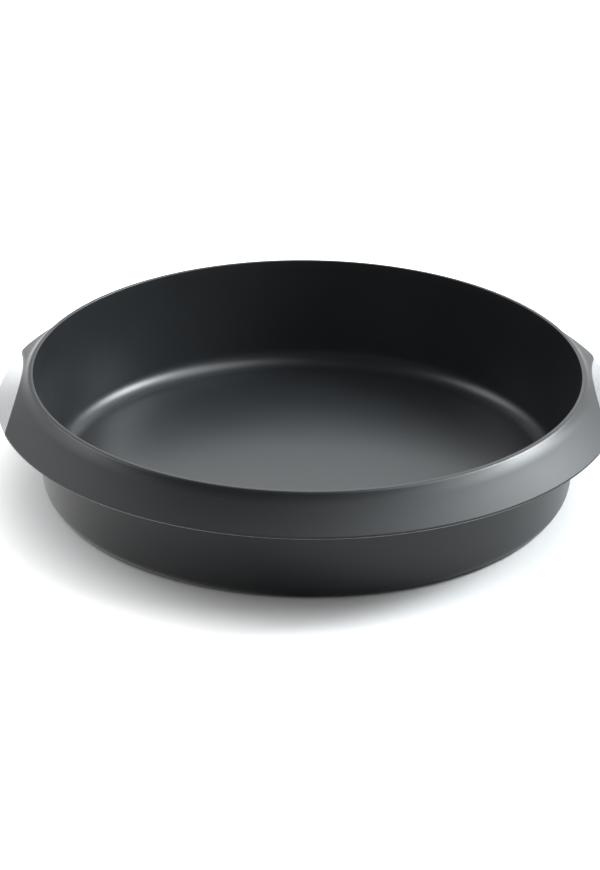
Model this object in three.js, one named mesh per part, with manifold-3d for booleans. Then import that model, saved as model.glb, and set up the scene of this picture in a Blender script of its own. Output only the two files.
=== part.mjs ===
// Round silicone baking pan with a turned-down skirt, carried by a steel support ring.
// The ring sits under the skirt and shows in two grip windows, one at each end of the X axis.
// Millimetres, +Z up. The origin is the centre of the underside of the pan's floor.
import * as THREE from 'three';
import { mergeVertices } from 'three/addons/utils/BufferGeometryUtils.js';
import Module from 'manifold-3d';

// Bowl
const RIM_RADIUS = 128.7; // outside of the lip, where the skirt begins
const PAN_HEIGHT = 56;
const LIP_WIDTH = 1.9;
const LIP_DROP = 0.2; // of the lip's outside below its inside
const LIP_ROUNDING = 0.5; // inside edge
const SHOULDER_ROUNDING = 2; // outside edge
const WALL = 3.4;
const WALL_DRAFT = 7.4; // degrees from vertical
const FLOOR = 2.9;
const INNER_FILLET = 9;
const OUTER_FILLET = 6;

// Skirt, measured along its slope from the lip to its plumb-cut edge
const SKIRT_SLOPE = 41.5; // degrees below horizontal, on the whole
const SKIRT_LENGTH = 20.5;
const SKIRT_FLARE = 0.6; // hollow of its middle, which makes it steeper above and flatter below
const SKIRT_THICKNESS = 0.8;
const SKIRT_END_ROUNDING = 0.1;
const CROTCH_FILLET = 0.4; // where the underside of the skirt leaves the wall

// Grip windows, each one flat slanting cut through the skirt
const GRIP_TILT = 65; // degrees from horizontal
const GRIP_REVEAL = 4.2; // skirt left below the lip at the middle of the window

// Support ring
const RING_SHEET = 0.6;
const RING_EDGE_ROUNDING = 0.1;
const RING_SETBACK = 0.4; // of its lower edge behind the skirt's plumb edge, along the slope
const RING_CLEARANCE = 0.2; // to the silicone it seats in

// Facets
const ROUND_SEGMENTS = 72;
const FILLET_STEPS = 3;
const SKIRT_STEPS = 6;

const wasm = await Module();
wasm.setup();

const draft = Math.tan(THREE.MathUtils.degToRad(WALL_DRAFT));
const slopeCos = Math.cos(THREE.MathUtils.degToRad(SKIRT_SLOPE));
const slopeSin = Math.sin(THREE.MathUtils.degToRad(SKIRT_SLOPE));
const slopeTan = slopeSin / slopeCos;
const ringOuterDepth = SKIRT_THICKNESS + RING_CLEARANCE;
const ringInnerDepth = ringOuterDepth + RING_SHEET;

// A section is drawn with x as the radius and y as the height.
function wallInnerAt(height) {
  return RIM_RADIUS - LIP_WIDTH - (PAN_HEIGHT - height) * draft;
}

function wallOuterAt(height) {
  return wallInnerAt(height) + WALL;
}

// Point in the section, a distance down the skirt's slope and a depth under its outer face.
function onSlope(along, depth) {
  const share = Math.max(0, along / SKIRT_LENGTH);
  const sunk = depth + 4 * SKIRT_FLARE * share * (1 - share);
  const radius = RIM_RADIUS + slopeCos * along - slopeSin * sunk;
  const height = PAN_HEIGHT - LIP_DROP - slopeSin * along - slopeCos * sunk;
  return new THREE.Vector2(radius, height);
}

// Distance down the slope at which this depth lies plumb under the skirt's outer edge.
function plumbEnd(depth) {
  return SKIRT_LENGTH + depth * slopeTan;
}

// Points between two distances down the slope, at one depth.
function slopeRun(depth, from, to) {
  const points = [];
  for (let step = 1; step < SKIRT_STEPS; step += 1) {
    points.push({ at: onSlope(THREE.MathUtils.lerp(from, to, step / SKIRT_STEPS), depth) });
  }
  return points;
}

// Distance down the slope at which a line at this depth comes within a gap of the outer wall.
// Each pass closes most of what is left of the distance.
function slopeMeetsWall(depth, gap) {
  let along = 0;
  for (let pass = 0; pass < 8; pass += 1) {
    const { x, y } = onSlope(along, depth);
    along += wallOuterAt(y) + gap - x;
  }
  return along;
}

// Rounds one corner of a section with an arc that is tangent to both of its sides.
// The arc takes up at most half of the shorter side.
function filletPoints(before, corner, after, wantedRadius) {
  const sideIn = before.clone().sub(corner).normalize();
  const sideOut = after.clone().sub(corner).normalize();
  const halfAngle = Math.acos(THREE.MathUtils.clamp(sideIn.dot(sideOut), -1, 1)) / 2;
  const shorterSide = Math.min(before.distanceTo(corner), after.distanceTo(corner));
  const reach = Math.min(wantedRadius / Math.tan(halfAngle), shorterSide / 2);
  const radius = reach * Math.tan(halfAngle);
  const bisector = sideIn.clone().add(sideOut).normalize();
  const centre = corner.clone().addScaledVector(bisector, radius / Math.sin(halfAngle));
  const tangentIn = corner.clone().addScaledVector(sideIn, reach);
  const tangentOut = corner.clone().addScaledVector(sideOut, reach);
  const startAngle = tangentIn.clone().sub(centre).angle();
  const endAngle = tangentOut.clone().sub(centre).angle();
  const sweep = Math.atan2(Math.sin(endAngle - startAngle), Math.cos(endAngle - startAngle));
  const points = [];
  for (let step = 0; step <= FILLET_STEPS; step += 1) {
    const angle = startAngle + (sweep * step) / FILLET_STEPS;
    points.push(new THREE.Vector2(Math.cos(angle), Math.sin(angle)).multiplyScalar(radius).add(centre));
  }
  return points;
}

// Section from a list of corners, each with the radius of its rounding or none.
function roundedSection(corners) {
  const points = [];
  corners.forEach(({ at, radius }, index) => {
    if (radius === undefined) {
      points.push(at);
      return;
    }
    points.push(...filletPoints(corners[index - 1].at, at, corners[index + 1].at, radius));
  });
  return points;
}

// Turns a section about the Z axis.
function turned(section) {
  const geometry = new THREE.LatheGeometry(section, ROUND_SEGMENTS);
  geometry.rotateX(Math.PI / 2);
  return geometry;
}

// Closed solid from a geometry, with shared corners merged and empty triangles left out.
function toSolid(geometry) {
  const bare = geometry.clone();
  bare.deleteAttribute('normal');
  bare.deleteAttribute('uv');
  const merged = mergeVertices(bare);
  const corners = merged.index.array;
  const triVerts = [];
  for (let first = 0; first < corners.length; first += 3) {
    const [a, b, c] = corners.slice(first, first + 3);
    if (a !== b && b !== c && c !== a) triVerts.push(a, b, c);
  }
  const vertProperties = new Float32Array(merged.attributes.position.array);
  return new wasm.Manifold(new wasm.Mesh({ numProp: 3, vertProperties, triVerts: new Uint32Array(triVerts) }));
}

function toGeometry(solid) {
  const mesh = solid.getMesh();
  const geometry = new THREE.BufferGeometry();
  geometry.setAttribute('position', new THREE.BufferAttribute(mesh.vertProperties, 3));
  geometry.setIndex(new THREE.BufferAttribute(mesh.triVerts, 1));
  geometry.computeVertexNormals();
  return geometry;
}

// Bowl, lip and whole skirt in one closed section, from the axis under the floor to the axis above it.
function panSection() {
  const crotch = slopeMeetsWall(SKIRT_THICKNESS, 0);
  const foot = plumbEnd(SKIRT_THICKNESS);
  return roundedSection([
    { at: new THREE.Vector2(0, 0) },
    { at: new THREE.Vector2(wallOuterAt(0), 0), radius: OUTER_FILLET },
    { at: onSlope(crotch, SKIRT_THICKNESS), radius: CROTCH_FILLET },
    ...slopeRun(SKIRT_THICKNESS, crotch, foot),
    { at: onSlope(foot, SKIRT_THICKNESS), radius: SKIRT_END_ROUNDING },
    { at: onSlope(SKIRT_LENGTH, 0), radius: SKIRT_END_ROUNDING },
    ...slopeRun(0, SKIRT_LENGTH, 0),
    { at: onSlope(0, 0), radius: SHOULDER_ROUNDING },
    { at: new THREE.Vector2(RIM_RADIUS - LIP_WIDTH, PAN_HEIGHT), radius: LIP_ROUNDING },
    { at: new THREE.Vector2(wallInnerAt(FLOOR), FLOOR), radius: INNER_FILLET },
    { at: new THREE.Vector2(0, FLOOR) },
  ]);
}

// What one grip window takes out of the skirt: the part of the skirt's band beyond a tilted plane.
function gripCut() {
  const above = -SKIRT_THICKNESS;
  const below = SKIRT_THICKNESS + RING_CLEARANCE / 2;
  const end = plumbEnd(below) + SKIRT_THICKNESS;
  const bandSection = roundedSection([
    { at: onSlope(0, below) },
    ...slopeRun(below, 0, end),
    { at: onSlope(end, below) },
    { at: onSlope(end, above) },
    { at: onSlope(0, above) },
    { at: onSlope(0, below) },
  ]);
  const band = toSolid(turned(bandSection));

  const planeLean = THREE.MathUtils.degToRad(90 - GRIP_TILT);
  const planePoint = onSlope(GRIP_REVEAL, 0);
  const beyond = new THREE.BoxGeometry(RIM_RADIUS, 2 * RIM_RADIUS, 2 * RIM_RADIUS);
  beyond.translate(RIM_RADIUS / 2, 0, 0);
  beyond.rotateY(-planeLean);
  beyond.translate(planePoint.x, 0, planePoint.y);
  return band.intersect(toSolid(beyond));
}

function siliconePan() {
  const cut = gripCut();
  const solid = toSolid(turned(panSection())).subtract(cut).subtract(cut.rotate([0, 0, 180]));
  const material = new THREE.MeshStandardMaterial({ color: 0x3a3d40, roughness: 0.5, metalness: 0 });
  const mesh = new THREE.Mesh(toGeometry(solid), material);
  mesh.name = 'silicone_pan';
  return mesh;
}

// Sheet-steel band under the skirt, with its edges rounded off, from the middle of its top edge.
function ringSection() {
  const top = slopeMeetsWall(ringInnerDepth, RING_CLEARANCE);
  const end = plumbEnd(ringOuterDepth) - RING_SETBACK;
  const topMiddle = onSlope(top, (ringOuterDepth + ringInnerDepth) / 2);
  return roundedSection([
    { at: topMiddle },
    { at: onSlope(top, ringInnerDepth), radius: RING_EDGE_ROUNDING },
    ...slopeRun(ringInnerDepth, top, end),
    { at: onSlope(end, ringInnerDepth), radius: RING_EDGE_ROUNDING },
    { at: onSlope(end, ringOuterDepth), radius: RING_EDGE_ROUNDING },
    ...slopeRun(ringOuterDepth, end, top),
    { at: onSlope(top, ringOuterDepth), radius: RING_EDGE_ROUNDING },
    { at: topMiddle },
  ]);
}

function supportRing() {
  const material = new THREE.MeshStandardMaterial({ color: 0xc9cccd, roughness: 0.3, metalness: 1 });
  const mesh = new THREE.Mesh(toGeometry(toSolid(turned(ringSection()))), material);
  mesh.name = 'support_ring';
  return mesh;
}

const bakingPan = new THREE.Group();
bakingPan.add(siliconePan(), supportRing());

export default bakingPan;
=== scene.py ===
# Looks of a round silicone baking pan on its steel support ring.
import math

import bpy
from mathutils import Matrix, Vector


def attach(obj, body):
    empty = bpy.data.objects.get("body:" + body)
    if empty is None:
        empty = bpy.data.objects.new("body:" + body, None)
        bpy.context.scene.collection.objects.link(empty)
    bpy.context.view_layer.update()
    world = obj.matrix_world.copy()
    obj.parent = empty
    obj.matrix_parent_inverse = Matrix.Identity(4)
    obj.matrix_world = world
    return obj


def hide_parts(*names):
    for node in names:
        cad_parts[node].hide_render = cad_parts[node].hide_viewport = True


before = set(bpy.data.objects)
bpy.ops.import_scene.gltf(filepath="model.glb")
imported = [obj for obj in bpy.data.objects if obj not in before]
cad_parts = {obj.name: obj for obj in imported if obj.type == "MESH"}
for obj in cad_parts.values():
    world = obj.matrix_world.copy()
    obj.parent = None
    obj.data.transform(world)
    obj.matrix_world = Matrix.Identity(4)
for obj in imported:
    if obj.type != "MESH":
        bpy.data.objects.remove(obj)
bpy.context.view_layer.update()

MM = 0.001  # sizes below are in millimetres

# Bowl
PAN_HEIGHT = 56.0
RIM_RADIUS = 128.7
LIP_WIDTH = 1.9
LIP_DROP = 0.2
LIP_ROUNDING = 0.5
SHOULDER_ROUNDING = 2.0
WALL = 3.4
WALL_DRAFT = math.tan(math.radians(7.4))
FLOOR = 2.9
INNER_FILLET = 9.0
OUTER_FILLET = 6.0

# Skirt, measured along its slope from the lip to its plumb-cut edge
SLOPE_COS = math.cos(math.radians(41.5))
SLOPE_SIN = math.sin(math.radians(41.5))
SKIRT_LENGTH = 20.5
SKIRT_FLARE = 0.6
SKIRT_THICKNESS = 0.8
SKIRT_END_ROUNDING = 0.1
CROTCH_FILLET = 0.4

# Grip windows
GRIP_NORMAL = (math.sin(math.radians(65.0)), math.cos(math.radians(65.0)))
GRIP_REVEAL = 4.2
GRIP_CORNER = 1.2  # softness of the corner where a window meets the skirt's edge
GRIP_ROOT = 2.8  # the skirt above this distance keeps its shape at a window
GRIP_SIDE = 0.8  # least cosine of the angle from a window's middle at which its plane is worked out

# Support ring
RING_SHEET = 0.6
RING_EDGE_ROUNDING = 0.1
RING_SETBACK = 0.4
RING_CLEARANCE = 0.2

# Fineness of the meshes
TURN_SEGMENTS = 480
ARC_STEP = math.radians(9.0)
LONGEST_STRETCH = 4.0
SKIRT_STEPS = 20

# Finish of the silicone. The grain is drawn coarser than the mould's own, so that it shows.
BOWL_ROUGHNESS = 0.33
SKIRT_ROUGHNESS = 0.52
CLOUD_ROUGHNESS = 0.06
CLOUD_SIZE = 35.0
GRAIN_SIZE = 0.6
GRAIN_DEPTH = 0.04

# Finish of the steel. The lines are drawn coarser than a lathe leaves them, so that they show.
BRIGHT_LINE_ROUGHNESS = 0.24
DULL_LINE_ROUGHNESS = 0.34
LINE_WIDTH = 0.25
LINE_DEPTH = 0.01
LINE_CHANGES = 6.0  # along one radian of a line

# Camera, from the photograph's ellipses. Its lens is in millimetres on a sensor 36 mm wide.
CAMERA_DISTANCE = 1500.0
CAMERA_ELEVATION = math.radians(26.53)
CAMERA_ROLL = math.radians(0.53)
CAMERA_AIM = (-3.2, 8.3, 16.7)
CAMERA_LENS = 131.9
CAMERA_SENSOR = 36.0

# Soft boxes: azimuth and elevation in degrees, then distance, width and height in metres, and watts.
# The key's direction comes from the shadow of the lip on the pan's floor, and the other three are what the
# right of the skirt, the left of the skirt and the level surfaces mirror.
SOFT_BOXES = {
    "key_soft_box": (14.0, 36.5, 1.3, 0.42, 0.42, 22.0),
    "right_soft_box": (-2.0, 54.0, 1.3, 0.95, 0.95, 13.0),
    "left_soft_box": (162.0, 39.0, 1.3, 0.6, 0.5, 4.2),
    "back_soft_box": (84.0, 42.0, 1.4, 0.95, 0.75, 5.2),
}
LAMP_COLOUR = "#f6fcff"

# Floor and backdrop, in metres
FLOOR_HALF = 2.5
FLOOR_WHITE = 1.3  # strength that lifts the open floor to white
# Painted shade: the floor's white glow to the camera is darkened near the pan by ambient occlusion within
# this reach
PAINTED_SHADE_REACH = 0.12
PAINTED_SHADE_DEPTH = 2.7  # power of the floor's openness, which deepens the painted shade near the pan
PAINTED_SHADE_OPEN_SIDE = (-0.42, 0.1, 0.9)  # side about which the painted shade samples the floor's openness to the backdrop
PAINTED_BRIGHT_SIDE = (-0.85, 0.45, 0.0)  # side on which mirror rays see painted light on the floor, so the pan mirrors it as white
# distances towards that side over which the painted light rises
PAINTED_BRIGHT_START = -0.05
PAINTED_BRIGHT_END = 0.2
DIFFUSE_LEVEL = 0.3


def linear(hex_colour):
    """Linear RGBA of an sRGB hex colour."""
    channels = [int(hex_colour[start:start + 2], 16) / 255.0 for start in (1, 3, 5)]
    return tuple(c / 12.92 if c <= 0.04045 else ((c + 0.055) / 1.055) ** 2.4 for c in channels) + (1.0,)


def add(tree, kind, sockets=None, **settings):
    """Adds a node, sets its properties, and links or fills its input sockets."""
    node = tree.nodes.new(kind)
    for name, value in settings.items():
        setattr(node, name, value)
    for socket, value in (sockets or {}).items():
        if isinstance(value, bpy.types.NodeSocket):
            tree.links.new(value, node.inputs[socket])
        else:
            node.inputs[socket].default_value = value
    return node


# Sections, as (radius, height) points in millimetres

def wall_inner_at(height):
    return RIM_RADIUS - LIP_WIDTH - (PAN_HEIGHT - height) * WALL_DRAFT


def wall_outer_at(height):
    return wall_inner_at(height) + WALL


def flare_at(along):
    """How far the skirt lies below its straight slope."""
    share = max(0.0, along / SKIRT_LENGTH)
    return 4.0 * SKIRT_FLARE * share * (1.0 - share)


def on_slope(along, depth):
    """Point at a distance down the skirt and a depth under its outer face."""
    sunk = depth + flare_at(along)
    radius = RIM_RADIUS + SLOPE_COS * along - SLOPE_SIN * sunk
    height = PAN_HEIGHT - LIP_DROP - SLOPE_SIN * along - SLOPE_COS * sunk
    return Vector((radius, height))


def slope_place(point):
    """Distance down the skirt, and depth under its outer face, of a section point."""
    out = point - on_slope(0.0, 0.0)
    along = SLOPE_COS * out.x - SLOPE_SIN * out.y
    return along, -SLOPE_SIN * out.x - SLOPE_COS * out.y - flare_at(along)


def plumb_end(depth):
    """Distance down the skirt at which this depth lies plumb under its outer edge."""
    return SKIRT_LENGTH + depth * SLOPE_SIN / SLOPE_COS


def slope_run(depth, start, end):
    """Plain points between two distances down the skirt."""
    shares = [step / SKIRT_STEPS for step in range(1, SKIRT_STEPS)]
    return [(on_slope(start + (end - start) * share, depth), 0.0) for share in shares]


def slope_meets_wall(depth, gap):
    """Distance down the skirt at which a line at this depth comes within a gap of the wall.

    Each pass closes most of what is left of the distance.
    """
    along = 0.0
    for _ in range(8):
        point = on_slope(along, depth)
        along += wall_outer_at(point.y) + gap - point.x
    return along


def fillet_points(before, corner, after, radius):
    """Arc that rounds a corner, tangent to both of its sides."""
    side_in = (before - corner).normalized()
    side_out = (after - corner).normalized()
    half_angle = side_in.angle(side_out) / 2.0
    centre = corner + (side_in + side_out).normalized() * (radius / math.sin(half_angle))
    reach = radius / math.tan(half_angle)
    start = corner + side_in * reach - centre
    end = corner + side_out * reach - centre
    sweep = math.atan2(start.x * end.y - start.y * end.x, start.dot(end))
    steps = max(3, math.ceil(abs(sweep) / ARC_STEP))
    return [centre + Matrix.Rotation(sweep * step / steps, 2) @ start for step in range(steps + 1)]


def rounded_section(corners):
    """Section from (corner, radius) pairs, with radius 0 for a plain point."""
    points = []
    for index, (corner, radius) in enumerate(corners):
        if radius:
            points += fillet_points(corners[index - 1][0], corner, corners[index + 1][0], radius)
        else:
            points.append(corner)
    return points


def filled_in(points):
    """The same section with its long straight stretches divided evenly."""
    filled = [points[0]]
    for start, end in zip(points, points[1:]):
        parts = math.ceil((end - start).length / LONGEST_STRETCH)
        filled += [start.lerp(end, part / parts) for part in range(1, parts + 1)]
    return filled


def pan_section():
    """Bowl, lip and whole skirt, from the axis under the floor to the axis above it."""
    crotch = slope_meets_wall(SKIRT_THICKNESS, 0.0)
    foot = plumb_end(SKIRT_THICKNESS)
    return filled_in(rounded_section([
        (Vector((0.0, 0.0)), 0.0),
        (Vector((wall_outer_at(0.0), 0.0)), OUTER_FILLET),
        (on_slope(crotch, SKIRT_THICKNESS), CROTCH_FILLET),
        *slope_run(SKIRT_THICKNESS, crotch, foot),
        (on_slope(foot, SKIRT_THICKNESS), SKIRT_END_ROUNDING),
        (on_slope(SKIRT_LENGTH, 0.0), SKIRT_END_ROUNDING),
        *slope_run(0.0, SKIRT_LENGTH, 0.0),
        (on_slope(0.0, 0.0), SHOULDER_ROUNDING),
        (Vector((RIM_RADIUS - LIP_WIDTH, PAN_HEIGHT)), LIP_ROUNDING),
        (Vector((wall_inner_at(FLOOR), FLOOR)), INNER_FILLET),
        (Vector((0.0, FLOOR)), 0.0),
    ]))


def ring_section():
    """Sheet band under the skirt, from the middle of its top edge and back to it."""
    outer_depth = SKIRT_THICKNESS + RING_CLEARANCE
    inner_depth = outer_depth + RING_SHEET
    top = slope_meets_wall(inner_depth, RING_CLEARANCE)
    end = plumb_end(outer_depth) - RING_SETBACK
    top_middle = on_slope(top, (outer_depth + inner_depth) / 2.0)
    return filled_in(rounded_section([
        (top_middle, 0.0),
        (on_slope(top, inner_depth), RING_EDGE_ROUNDING),
        *slope_run(inner_depth, top, end),
        (on_slope(end, inner_depth), RING_EDGE_ROUNDING),
        (on_slope(end, outer_depth), RING_EDGE_ROUNDING),
        *slope_run(outer_depth, end, top),
        (on_slope(top, outer_depth), RING_EDGE_ROUNDING),
        (top_middle, 0.0),
    ]))


# Turning a section into a shape

def add_flare(tree, along, length):
    """Nodes for flare_at, with distances in metres."""
    share = add(tree, "ShaderNodeMath", {0: along, 1: length}, operation="DIVIDE").outputs[0]
    share = add(tree, "ShaderNodeMath", {0: share, 1: 0.0}, operation="MAXIMUM").outputs[0]
    rest = add(tree, "ShaderNodeMath", {0: 1.0, 1: share}, operation="SUBTRACT").outputs[0]
    hollow = add(tree, "ShaderNodeMath", {0: share, 1: rest}, operation="MULTIPLY").outputs[0]
    return add(tree, "ShaderNodeMath", {0: hollow, 1: 4.0 * SKIRT_FLARE * MM},
               operation="MULTIPLY").outputs[0]


def turned_shape_tree():
    """Turns the object's section points about Z, and draws the skirt back to the edge of the grip windows.

    A section point's own attributes say how far down the skirt it lies (along), how deep under the skirt's
    outer face (depth), and how much of the skirt's shortening it follows (share). All are 0 off the skirt.
    """
    tree = bpy.data.node_groups.new("turned_shape", "GeometryNodeTree")
    tree.interface.new_socket("Section", in_out="INPUT", socket_type="NodeSocketGeometry")
    tree.interface.new_socket("Shape", in_out="OUTPUT", socket_type="NodeSocketGeometry")
    tree.interface.new_socket("Segments", in_out="INPUT", socket_type="NodeSocketInt")
    for size in ("Skirt length", "Rim radius", "Rim height", "Grip distance", "Grip corner"):
        tree.interface.new_socket(size, in_out="INPUT", socket_type="NodeSocketFloat")
    tree.interface.new_socket("Finish", in_out="INPUT", socket_type="NodeSocketMaterial")
    given = add(tree, "NodeGroupInput").outputs
    section = given["Section"]
    length = given["Skirt length"]
    rows = add(tree, "GeometryNodeAttributeDomainSize", {"Geometry": section}).outputs["Point Count"]
    columns = add(tree, "ShaderNodeMath", {0: given["Segments"], 1: 1.0}, operation="ADD").outputs[0]
    sheet = add(tree, "GeometryNodeMeshGrid", {"Vertices X": columns, "Vertices Y": rows}).outputs["Mesh"]

    # Each column of the grid is the section at one angle, and each row one of its points
    index = add(tree, "GeometryNodeInputIndex").outputs[0]
    column = add(tree, "ShaderNodeMath", {0: index, 1: rows}, operation="DIVIDE").outputs[0]
    column = add(tree, "ShaderNodeMath", {0: column}, operation="FLOOR").outputs[0]
    row = add(tree, "ShaderNodeMath", {0: index, 1: rows}, operation="MODULO").outputs[0]
    turn = add(tree, "ShaderNodeMath", {0: column, 1: given["Segments"]}, operation="DIVIDE").outputs[0]
    angle = add(tree, "ShaderNodeMath", {0: turn, 1: math.tau}, operation="MULTIPLY").outputs[0]
    cosine = add(tree, "ShaderNodeMath", {0: angle}, operation="COSINE").outputs[0]
    sine = add(tree, "ShaderNodeMath", {0: angle}, operation="SINE").outputs[0]
    here = add(tree, "GeometryNodeInputPosition").outputs[0]
    place = add(tree, "GeometryNodeSampleIndex", {"Geometry": section, "Value": here, "Index": row},
                data_type="FLOAT_VECTOR").outputs[0]
    place = add(tree, "ShaderNodeSeparateXYZ", {0: place}).outputs
    sampled = {}
    for name in ("along", "depth", "share"):
        value = add(tree, "GeometryNodeInputNamedAttribute", {"Name": name}).outputs["Attribute"]
        sampled[name] = add(tree, "GeometryNodeSampleIndex",
                            {"Geometry": section, "Value": value, "Index": row}).outputs[0]

    # How far down the slope, at this depth, the tilted plane of the nearer window cuts the skirt.
    # The flare there depends on the answer, so it is worked out in a few passes.
    facing = add(tree, "ShaderNodeMath", {0: cosine}, operation="ABSOLUTE").outputs[0]
    facing = add(tree, "ShaderNodeMath", {0: facing, 1: GRIP_SIDE}, operation="MAXIMUM").outputs[0]
    lean = add(tree, "ShaderNodeMath", {0: facing, 1: GRIP_NORMAL[0]}, operation="MULTIPLY").outputs[0]
    rim = add(tree, "ShaderNodeMath", {0: lean, 1: given["Rim radius"]}, operation="MULTIPLY").outputs[0]
    rim = add(tree, "ShaderNodeMath", {0: given["Rim height"], 1: GRIP_NORMAL[1], 2: rim},
              operation="MULTIPLY_ADD").outputs[0]
    room = add(tree, "ShaderNodeMath", {0: given["Grip distance"], 1: rim}, operation="SUBTRACT").outputs[0]
    gain = add(tree, "ShaderNodeMath", {0: lean, 1: SLOPE_COS, 2: -GRIP_NORMAL[1] * SLOPE_SIN},
               operation="MULTIPLY_ADD").outputs[0]
    loss = add(tree, "ShaderNodeMath", {0: lean, 1: SLOPE_SIN, 2: GRIP_NORMAL[1] * SLOPE_COS},
               operation="MULTIPLY_ADD").outputs[0]
    end = add(tree, "ShaderNodeMath", {0: sampled["depth"], 1: SLOPE_SIN / SLOPE_COS, 2: length},
              operation="MULTIPLY_ADD").outputs[0]
    sunk = sampled["depth"]
    for _ in range(3):
        cut = add(tree, "ShaderNodeMath", {0: loss, 1: sunk, 2: room}, operation="MULTIPLY_ADD").outputs[0]
        cut = add(tree, "ShaderNodeMath", {0: cut, 1: gain}, operation="DIVIDE").outputs[0]
        kept = add(tree, "ShaderNodeMath", {0: cut, 1: end}, operation="MINIMUM").outputs[0]
        flare = add_flare(tree, kept, length)
        sunk = add(tree, "ShaderNodeMath", {0: sampled["depth"], 1: flare}).outputs[0]
    edge = add(tree, "ShaderNodeMath", {0: cut, 1: end, 2: given["Grip corner"]},
               operation="SMOOTH_MIN").outputs[0]

    # The skirt's points move up the slope by their share, and keep to its flare
    change = add(tree, "ShaderNodeMath", {0: edge, 1: end}, operation="SUBTRACT").outputs[0]
    change = add(tree, "ShaderNodeMath", {0: change, 1: sampled["share"]}, operation="MULTIPLY").outputs[0]
    drawn = add(tree, "ShaderNodeMath", {0: sampled["along"], 1: change}).outputs[0]
    flare_drawn = add_flare(tree, drawn, length)
    flare_before = add_flare(tree, sampled["along"], length)
    sinking = add(tree, "ShaderNodeMath", {0: flare_drawn, 1: flare_before},
                  operation="SUBTRACT").outputs[0]
    radius = add(tree, "ShaderNodeMath", {0: change, 1: SLOPE_COS, 2: place["X"]},
                 operation="MULTIPLY_ADD").outputs[0]
    radius = add(tree, "ShaderNodeMath", {0: sinking, 1: -SLOPE_SIN, 2: radius},
                 operation="MULTIPLY_ADD").outputs[0]
    height = add(tree, "ShaderNodeMath", {0: change, 1: -SLOPE_SIN, 2: place["Z"]},
                 operation="MULTIPLY_ADD").outputs[0]
    height = add(tree, "ShaderNodeMath", {0: sinking, 1: -SLOPE_COS, 2: height},
                 operation="MULTIPLY_ADD").outputs[0]
    across = add(tree, "ShaderNodeMath", {0: radius, 1: cosine}, operation="MULTIPLY").outputs[0]
    forth = add(tree, "ShaderNodeMath", {0: radius, 1: sine}, operation="MULTIPLY").outputs[0]
    final = add(tree, "ShaderNodeCombineXYZ", {"X": across, "Y": forth, "Z": height}).outputs[0]

    shape = add(tree, "GeometryNodeSetPosition", {"Geometry": sheet, "Position": final}).outputs[0]
    closeness = 0.001 * MM
    shape = add(tree, "GeometryNodeMergeByDistance", {"Geometry": shape, "Distance": closeness}).outputs[0]
    shape = add(tree, "GeometryNodeSetShadeSmooth", {0: shape}).outputs[0]
    shape = add(tree, "GeometryNodeRealizeInstances", {"Geometry": shape}).outputs[0]
    shape = add(tree, "GeometryNodeSetMaterial",
                {"Geometry": shape, "Material": given["Finish"]}).outputs[0]
    add(tree, "NodeGroupOutput", {0: shape})
    return tree


def skirt_place(point):
    """A section point's place on the skirt, for the node tree: along and depth in metres, and share."""
    along, depth = slope_place(point)
    tolerance = 0.02
    if along < GRIP_ROOT or not -tolerance < depth < SKIRT_THICKNESS + tolerance:
        return 0.0, 0.0, 0.0
    full = plumb_end(depth) - SKIRT_END_ROUNDING
    return along * MM, depth * MM, min(1.0, (along - GRIP_ROOT) / (full - GRIP_ROOT))


def turned_piece(name, section, tree, finish, with_windows):
    """A closed mesh turned from a section by the node tree, as a plain object at the origin."""
    source = bpy.data.meshes.new(name + "_section")
    source.from_pydata([(p.x * MM, 0.0, p.y * MM) for p in section], [], [])
    places = [skirt_place(p) if with_windows else (0.0, 0.0, 0.0) for p in section]
    for attribute, values in zip(("along", "depth", "share"), zip(*places)):
        source.attributes.new(attribute, "FLOAT", "POINT").data.foreach_set("value", values)
    maker = bpy.data.objects.new(name + "_maker", source)
    bpy.context.scene.collection.objects.link(maker)
    modifier = maker.modifiers.new("turned", "NODES")
    modifier.node_group = tree
    window_edge = on_slope(GRIP_REVEAL, 0.0)
    grip_distance = GRIP_NORMAL[0] * window_edge.x + GRIP_NORMAL[1] * window_edge.y
    settings = {"Segments": TURN_SEGMENTS, "Skirt length": SKIRT_LENGTH * MM, "Rim radius": RIM_RADIUS * MM,
                "Rim height": (PAN_HEIGHT - LIP_DROP) * MM, "Grip distance": grip_distance * MM,
                "Grip corner": GRIP_CORNER * MM, "Finish": finish}
    for item in tree.interface.items_tree:
        if item.name in settings:
            modifier[item.identifier] = settings[item.name]
    graph = bpy.context.evaluated_depsgraph_get()
    mesh = bpy.data.meshes.new_from_object(maker.evaluated_get(graph))
    mesh.name = name
    piece = bpy.data.objects.new(name, mesh)
    bpy.context.scene.collection.objects.link(piece)
    bpy.data.objects.remove(maker)
    return piece


# Finishes

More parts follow.
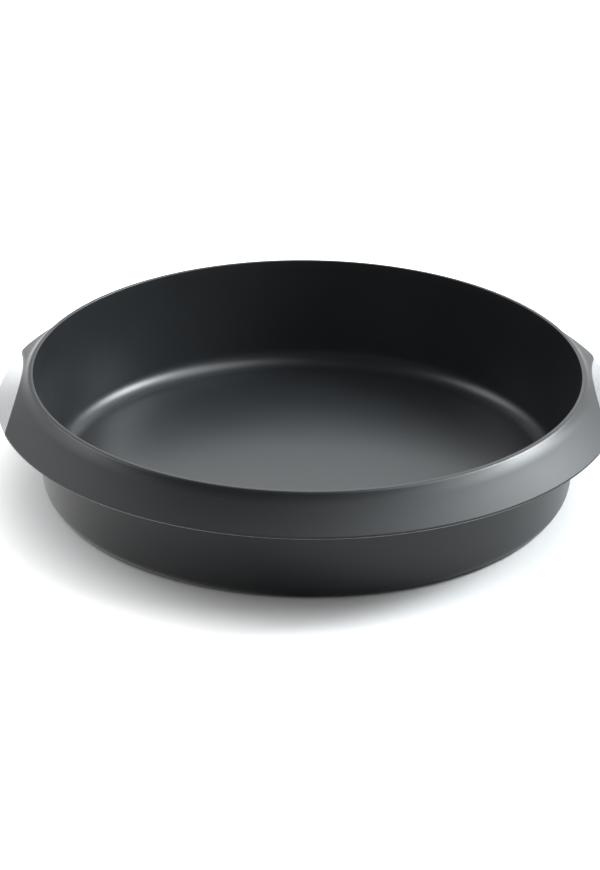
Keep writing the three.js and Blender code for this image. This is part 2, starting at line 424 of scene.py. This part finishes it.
def moulded_silicone():
    """Dark grey silicone, moulded: a satin skin with a fine even grain and faint clouding.

    The bowl comes off polished steel. The skirt, which hands hold, has a spark-eroded, duller finish.
    """
    material = bpy.data.materials.new("moulded_silicone_dark_grey")
    material.use_nodes = True
    tree = material.node_tree
    tree.nodes.clear()
    spot = add(tree, "ShaderNodeTexCoord").outputs["Object"]
    cloud = add(tree, "ShaderNodeTexNoise", {"Vector": spot, "Scale": 1.0 / (CLOUD_SIZE * MM),
                                             "Detail": 4.0})
    colour = add(tree, "ShaderNodeMix", {"Factor": cloud.outputs["Fac"], "A": linear("#1c1e20"),
                                         "B": linear("#222426")}, data_type="RGBA")
    parts = add(tree, "ShaderNodeSeparateXYZ", {0: spot}).outputs
    flat = add(tree, "ShaderNodeCombineXYZ", {"X": parts["X"], "Y": parts["Y"]}).outputs[0]
    radius = add(tree, "ShaderNodeVectorMath", {0: flat}, operation="LENGTH").outputs["Value"]
    on_wall = add(tree, "ShaderNodeMath", {0: parts["Z"], 1: -WALL_DRAFT, 2: radius},
                  operation="MULTIPLY_ADD").outputs[0]
    satin = add(tree, "ShaderNodeMapRange", {
        "Value": on_wall, "From Min": wall_outer_at(0.0) * MM, "From Max": (wall_outer_at(0.0) + WALL) * MM,
        "To Min": BOWL_ROUGHNESS, "To Max": SKIRT_ROUGHNESS}).outputs["Result"]
    satin = add(tree, "ShaderNodeMath", {0: cloud.outputs["Fac"], 1: CLOUD_ROUGHNESS, 2: satin},
                operation="MULTIPLY_ADD").outputs[0]
    grain = add(tree, "ShaderNodeTexNoise", {"Vector": spot, "Scale": 1.0 / (GRAIN_SIZE * MM),
                                             "Detail": 3.0})
    relief = add(tree, "ShaderNodeBump", {"Height": grain.outputs["Fac"], "Strength": 0.25,
                                          "Distance": GRAIN_DEPTH * MM})
    shader = add(tree, "ShaderNodeBsdfPrincipled", {
        "Base Color": colour.outputs["Result"], "Roughness": satin,
        "Normal": relief.outputs["Normal"], "IOR": 1.5})
    add(tree, "ShaderNodeOutputMaterial", {"Surface": shader.outputs[0]})
    return material


def satin_steel():
    """Stainless sheet finished on a lathe: bright, with fine lines that run round the ring."""
    material = bpy.data.materials.new("stainless_steel_satin")
    material.use_nodes = True
    tree = material.node_tree
    tree.nodes.clear()
    spot = add(tree, "ShaderNodeTexCoord").outputs["Object"]
    parts = add(tree, "ShaderNodeSeparateXYZ", {0: spot}).outputs
    turn = add(tree, "ShaderNodeMath", {0: parts["Y"], 1: parts["X"]}, operation="ARCTAN2").outputs[0]
    flat = add(tree, "ShaderNodeCombineXYZ", {"X": parts["X"], "Y": parts["Y"]}).outputs[0]
    radius = add(tree, "ShaderNodeVectorMath", {0: flat}, operation="LENGTH").outputs["Value"]
    across = add(tree, "ShaderNodeMath", {0: radius, 1: parts["Z"]}, operation="SUBTRACT").outputs[0]
    across = add(tree, "ShaderNodeMath", {0: across, 1: 1.0 / (LINE_WIDTH * MM)},
                 operation="MULTIPLY").outputs[0]
    round_ring = add(tree, "ShaderNodeMath", {0: turn, 1: LINE_CHANGES}, operation="MULTIPLY").outputs[0]
    lines_at = add(tree, "ShaderNodeCombineXYZ", {"X": across, "Y": round_ring}).outputs[0]
    lines = add(tree, "ShaderNodeTexNoise", {"Vector": lines_at, "Scale": 1.0, "Detail": 2.0})
    gloss = add(tree, "ShaderNodeMapRange", {
        "Value": lines.outputs["Fac"], "From Min": 0.3, "From Max": 0.7,
        "To Min": BRIGHT_LINE_ROUGHNESS, "To Max": DULL_LINE_ROUGHNESS})
    relief = add(tree, "ShaderNodeBump", {"Height": lines.outputs["Fac"], "Strength": 0.12,
                                          "Distance": LINE_DEPTH * MM})
    shader = add(tree, "ShaderNodeBsdfPrincipled", {
        "Base Color": linear("#b2b4b5"), "Metallic": 1.0, "Roughness": gloss.outputs["Result"],
        "Normal": relief.outputs["Normal"]})
    add(tree, "ShaderNodeOutputMaterial", {"Surface": shader.outputs[0]})
    return material


# Stage, light and camera

def seen_by(tree):
    """Two switches: 1 for the camera's own rays, and 1 for rays of mirror-like or clear surfaces."""
    path = add(tree, "ShaderNodeLightPath").outputs
    surfaces = add(tree, "ShaderNodeMath", {0: path["Is Glossy Ray"], 1: path["Is Transmission Ray"]},
                   operation="MAXIMUM").outputs[0]
    return path["Is Camera Ray"], surfaces


def white_floor():
    """Pale paper floor with a glow that holds painted shade and painted light. The camera sees it as white,
    with painted shade near the pan, where ambient occlusion finds the pan hiding the backdrop.

    The pan mirrors it as white on one side, where painted light is added for mirror rays, and as the plain
    lit paper elsewhere.
    """
    material = bpy.data.materials.new("white_paper_floor")
    material.use_nodes = True
    tree = material.node_tree
    tree.nodes.clear()
    camera, surfaces = seen_by(tree)
    # Painted shade: ambient occlusion darkens the camera's white glow near the pan
    open_side = add(tree, "ShaderNodeCombineXYZ", dict(zip("XYZ", PAINTED_SHADE_OPEN_SIDE))).outputs[0]
    openness = add(tree, "ShaderNodeAmbientOcclusion", {"Distance": PAINTED_SHADE_REACH, "Normal": open_side},
                   samples=16).outputs["AO"]
    painted_shade = add(tree, "ShaderNodeMath", {0: openness, 1: PAINTED_SHADE_DEPTH}, operation="POWER").outputs[0]
    glow_with_painted_shade = add(tree, "ShaderNodeMath", {0: painted_shade, 1: FLOOR_WHITE}, operation="MULTIPLY").outputs[0]
    # Painted light: mirror rays see the floor glowing brighter towards one side, apart from the lamps
    spot = add(tree, "ShaderNodeTexCoord").outputs["Object"]
    nearness = add(tree, "ShaderNodeVectorMath", {0: spot, 1: PAINTED_BRIGHT_SIDE},
                   operation="DOT_PRODUCT").outputs["Value"]
    painted_bright_side_glow = add(tree, "ShaderNodeMapRange", {
        "Value": nearness, "From Min": PAINTED_BRIGHT_START, "From Max": PAINTED_BRIGHT_END,
        "To Min": 0.0, "To Max": FLOOR_WHITE}).outputs["Result"]
    painted_glow = add(tree, "ShaderNodeMath", {0: painted_bright_side_glow, 1: surfaces}, operation="MULTIPLY").outputs[0]
    painted_glow = add(tree, "ShaderNodeMath", {0: glow_with_painted_shade, 1: camera, 2: painted_glow}, operation="MULTIPLY_ADD").outputs[0]
    paper = add(tree, "ShaderNodeBsdfDiffuse", {"Color": linear("#d2d2d2")})
    glow = add(tree, "ShaderNodeEmission", {"Strength": painted_glow})
    both = add(tree, "ShaderNodeAddShader", {0: paper.outputs[0], 1: glow.outputs[0]})
    add(tree, "ShaderNodeOutputMaterial", {"Surface": both.outputs[0]})

    mesh = bpy.data.meshes.new("floor")
    corners = [(-1, -1), (1, -1), (1, 1), (-1, 1)]
    mesh.from_pydata([(x * FLOOR_HALF, y * FLOOR_HALF, 0.0) for x, y in corners], [], [(0, 1, 2, 3)])
    mesh.materials.append(material)
    floor = bpy.data.objects.new("floor", mesh)
    bpy.context.scene.collection.objects.link(floor)


def studio_world():
    """White to the camera. Diffuse light comes at a low even level from all round.

    The pan mirrors a white backdrop, in a studio that is darker overhead and in front.
    """
    world = bpy.data.worlds.new("white_studio")
    bpy.context.scene.world = world
    world.use_nodes = True
    tree = world.node_tree
    tree.nodes.clear()
    towards = add(tree, "ShaderNodeTexCoord").outputs["Generated"]
    towards = add(tree, "ShaderNodeSeparateXYZ", {0: towards}).outputs
    behind = add(tree, "ShaderNodeMapRange", {"Value": towards["Y"], "From Min": -0.2, "From Max": 0.5,
                                              "To Min": 0.15, "To Max": 1.0}).outputs["Result"]
    below = add(tree, "ShaderNodeMapRange", {"Value": towards["Z"], "From Min": 0.45, "From Max": 0.9,
                                             "To Min": 1.0, "To Max": 0.2}).outputs["Result"]
    walls = add(tree, "ShaderNodeMath", {0: behind, 1: below}, operation="MULTIPLY").outputs[0]
    camera, surfaces = seen_by(tree)
    level = add(tree, "ShaderNodeMix", {"Factor": surfaces, "A": DIFFUSE_LEVEL,
                                        "B": walls}).outputs["Result"]
    level = add(tree, "ShaderNodeMix", {"Factor": camera, "A": level, "B": 1.0}).outputs["Result"]
    sky = add(tree, "ShaderNodeBackground", {"Color": (1.0, 1.0, 1.0, 1.0), "Strength": level})
    add(tree, "ShaderNodeOutputWorld", {"Surface": sky.outputs[0]})


def soft_box(name, azimuth, elevation, distance, width, height, watts):
    """Rectangular lamp that faces the origin."""
    lamp = bpy.data.lights.new(name, "AREA")
    lamp.shape = "RECTANGLE"
    lamp.size = width
    lamp.size_y = height
    lamp.energy = watts
    lamp.color = linear(LAMP_COLOUR)[:3]
    box = bpy.data.objects.new(name, lamp)
    bpy.context.scene.collection.objects.link(box)
    tilt = math.radians(elevation)
    turn = math.radians(azimuth)
    towards = Vector((math.cos(tilt) * math.cos(turn), math.cos(tilt) * math.sin(turn), math.sin(tilt)))
    box.location = towards * distance
    box.rotation_euler = towards.to_track_quat("Z", "Y").to_euler()


def photo_camera():
    """Sees the pan from where the photograph was taken."""
    camera = bpy.data.objects.new("camera", bpy.data.cameras.new("camera"))
    bpy.context.scene.collection.objects.link(camera)
    camera.data.sensor_width = CAMERA_SENSOR
    camera.data.lens = CAMERA_LENS
    place = Vector((0.0, -math.cos(CAMERA_ELEVATION), math.sin(CAMERA_ELEVATION))) * CAMERA_DISTANCE * MM
    back = place - Vector(CAMERA_AIM) * MM
    turn = back.to_track_quat("Z", "Y").to_matrix() @ Matrix.Rotation(CAMERA_ROLL, 3, "Z")
    camera.location = place
    camera.rotation_euler = turn.to_euler()
    bpy.context.scene.camera = camera


def main():
    photo_camera()
    tree = turned_shape_tree()
    pan = turned_piece("pan_moulding", pan_section(), tree, moulded_silicone(), True)
    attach(pan, "pan")
    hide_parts("silicone_pan")
    ring = turned_piece("ring_band", ring_section(), tree, satin_steel(), False)
    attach(ring, "ring")
    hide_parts("support_ring")
    white_floor()
    studio_world()
    for name, placing in SOFT_BOXES.items():
        soft_box(name, *placing)
    bpy.context.scene.view_settings.view_transform = "Standard"


main()
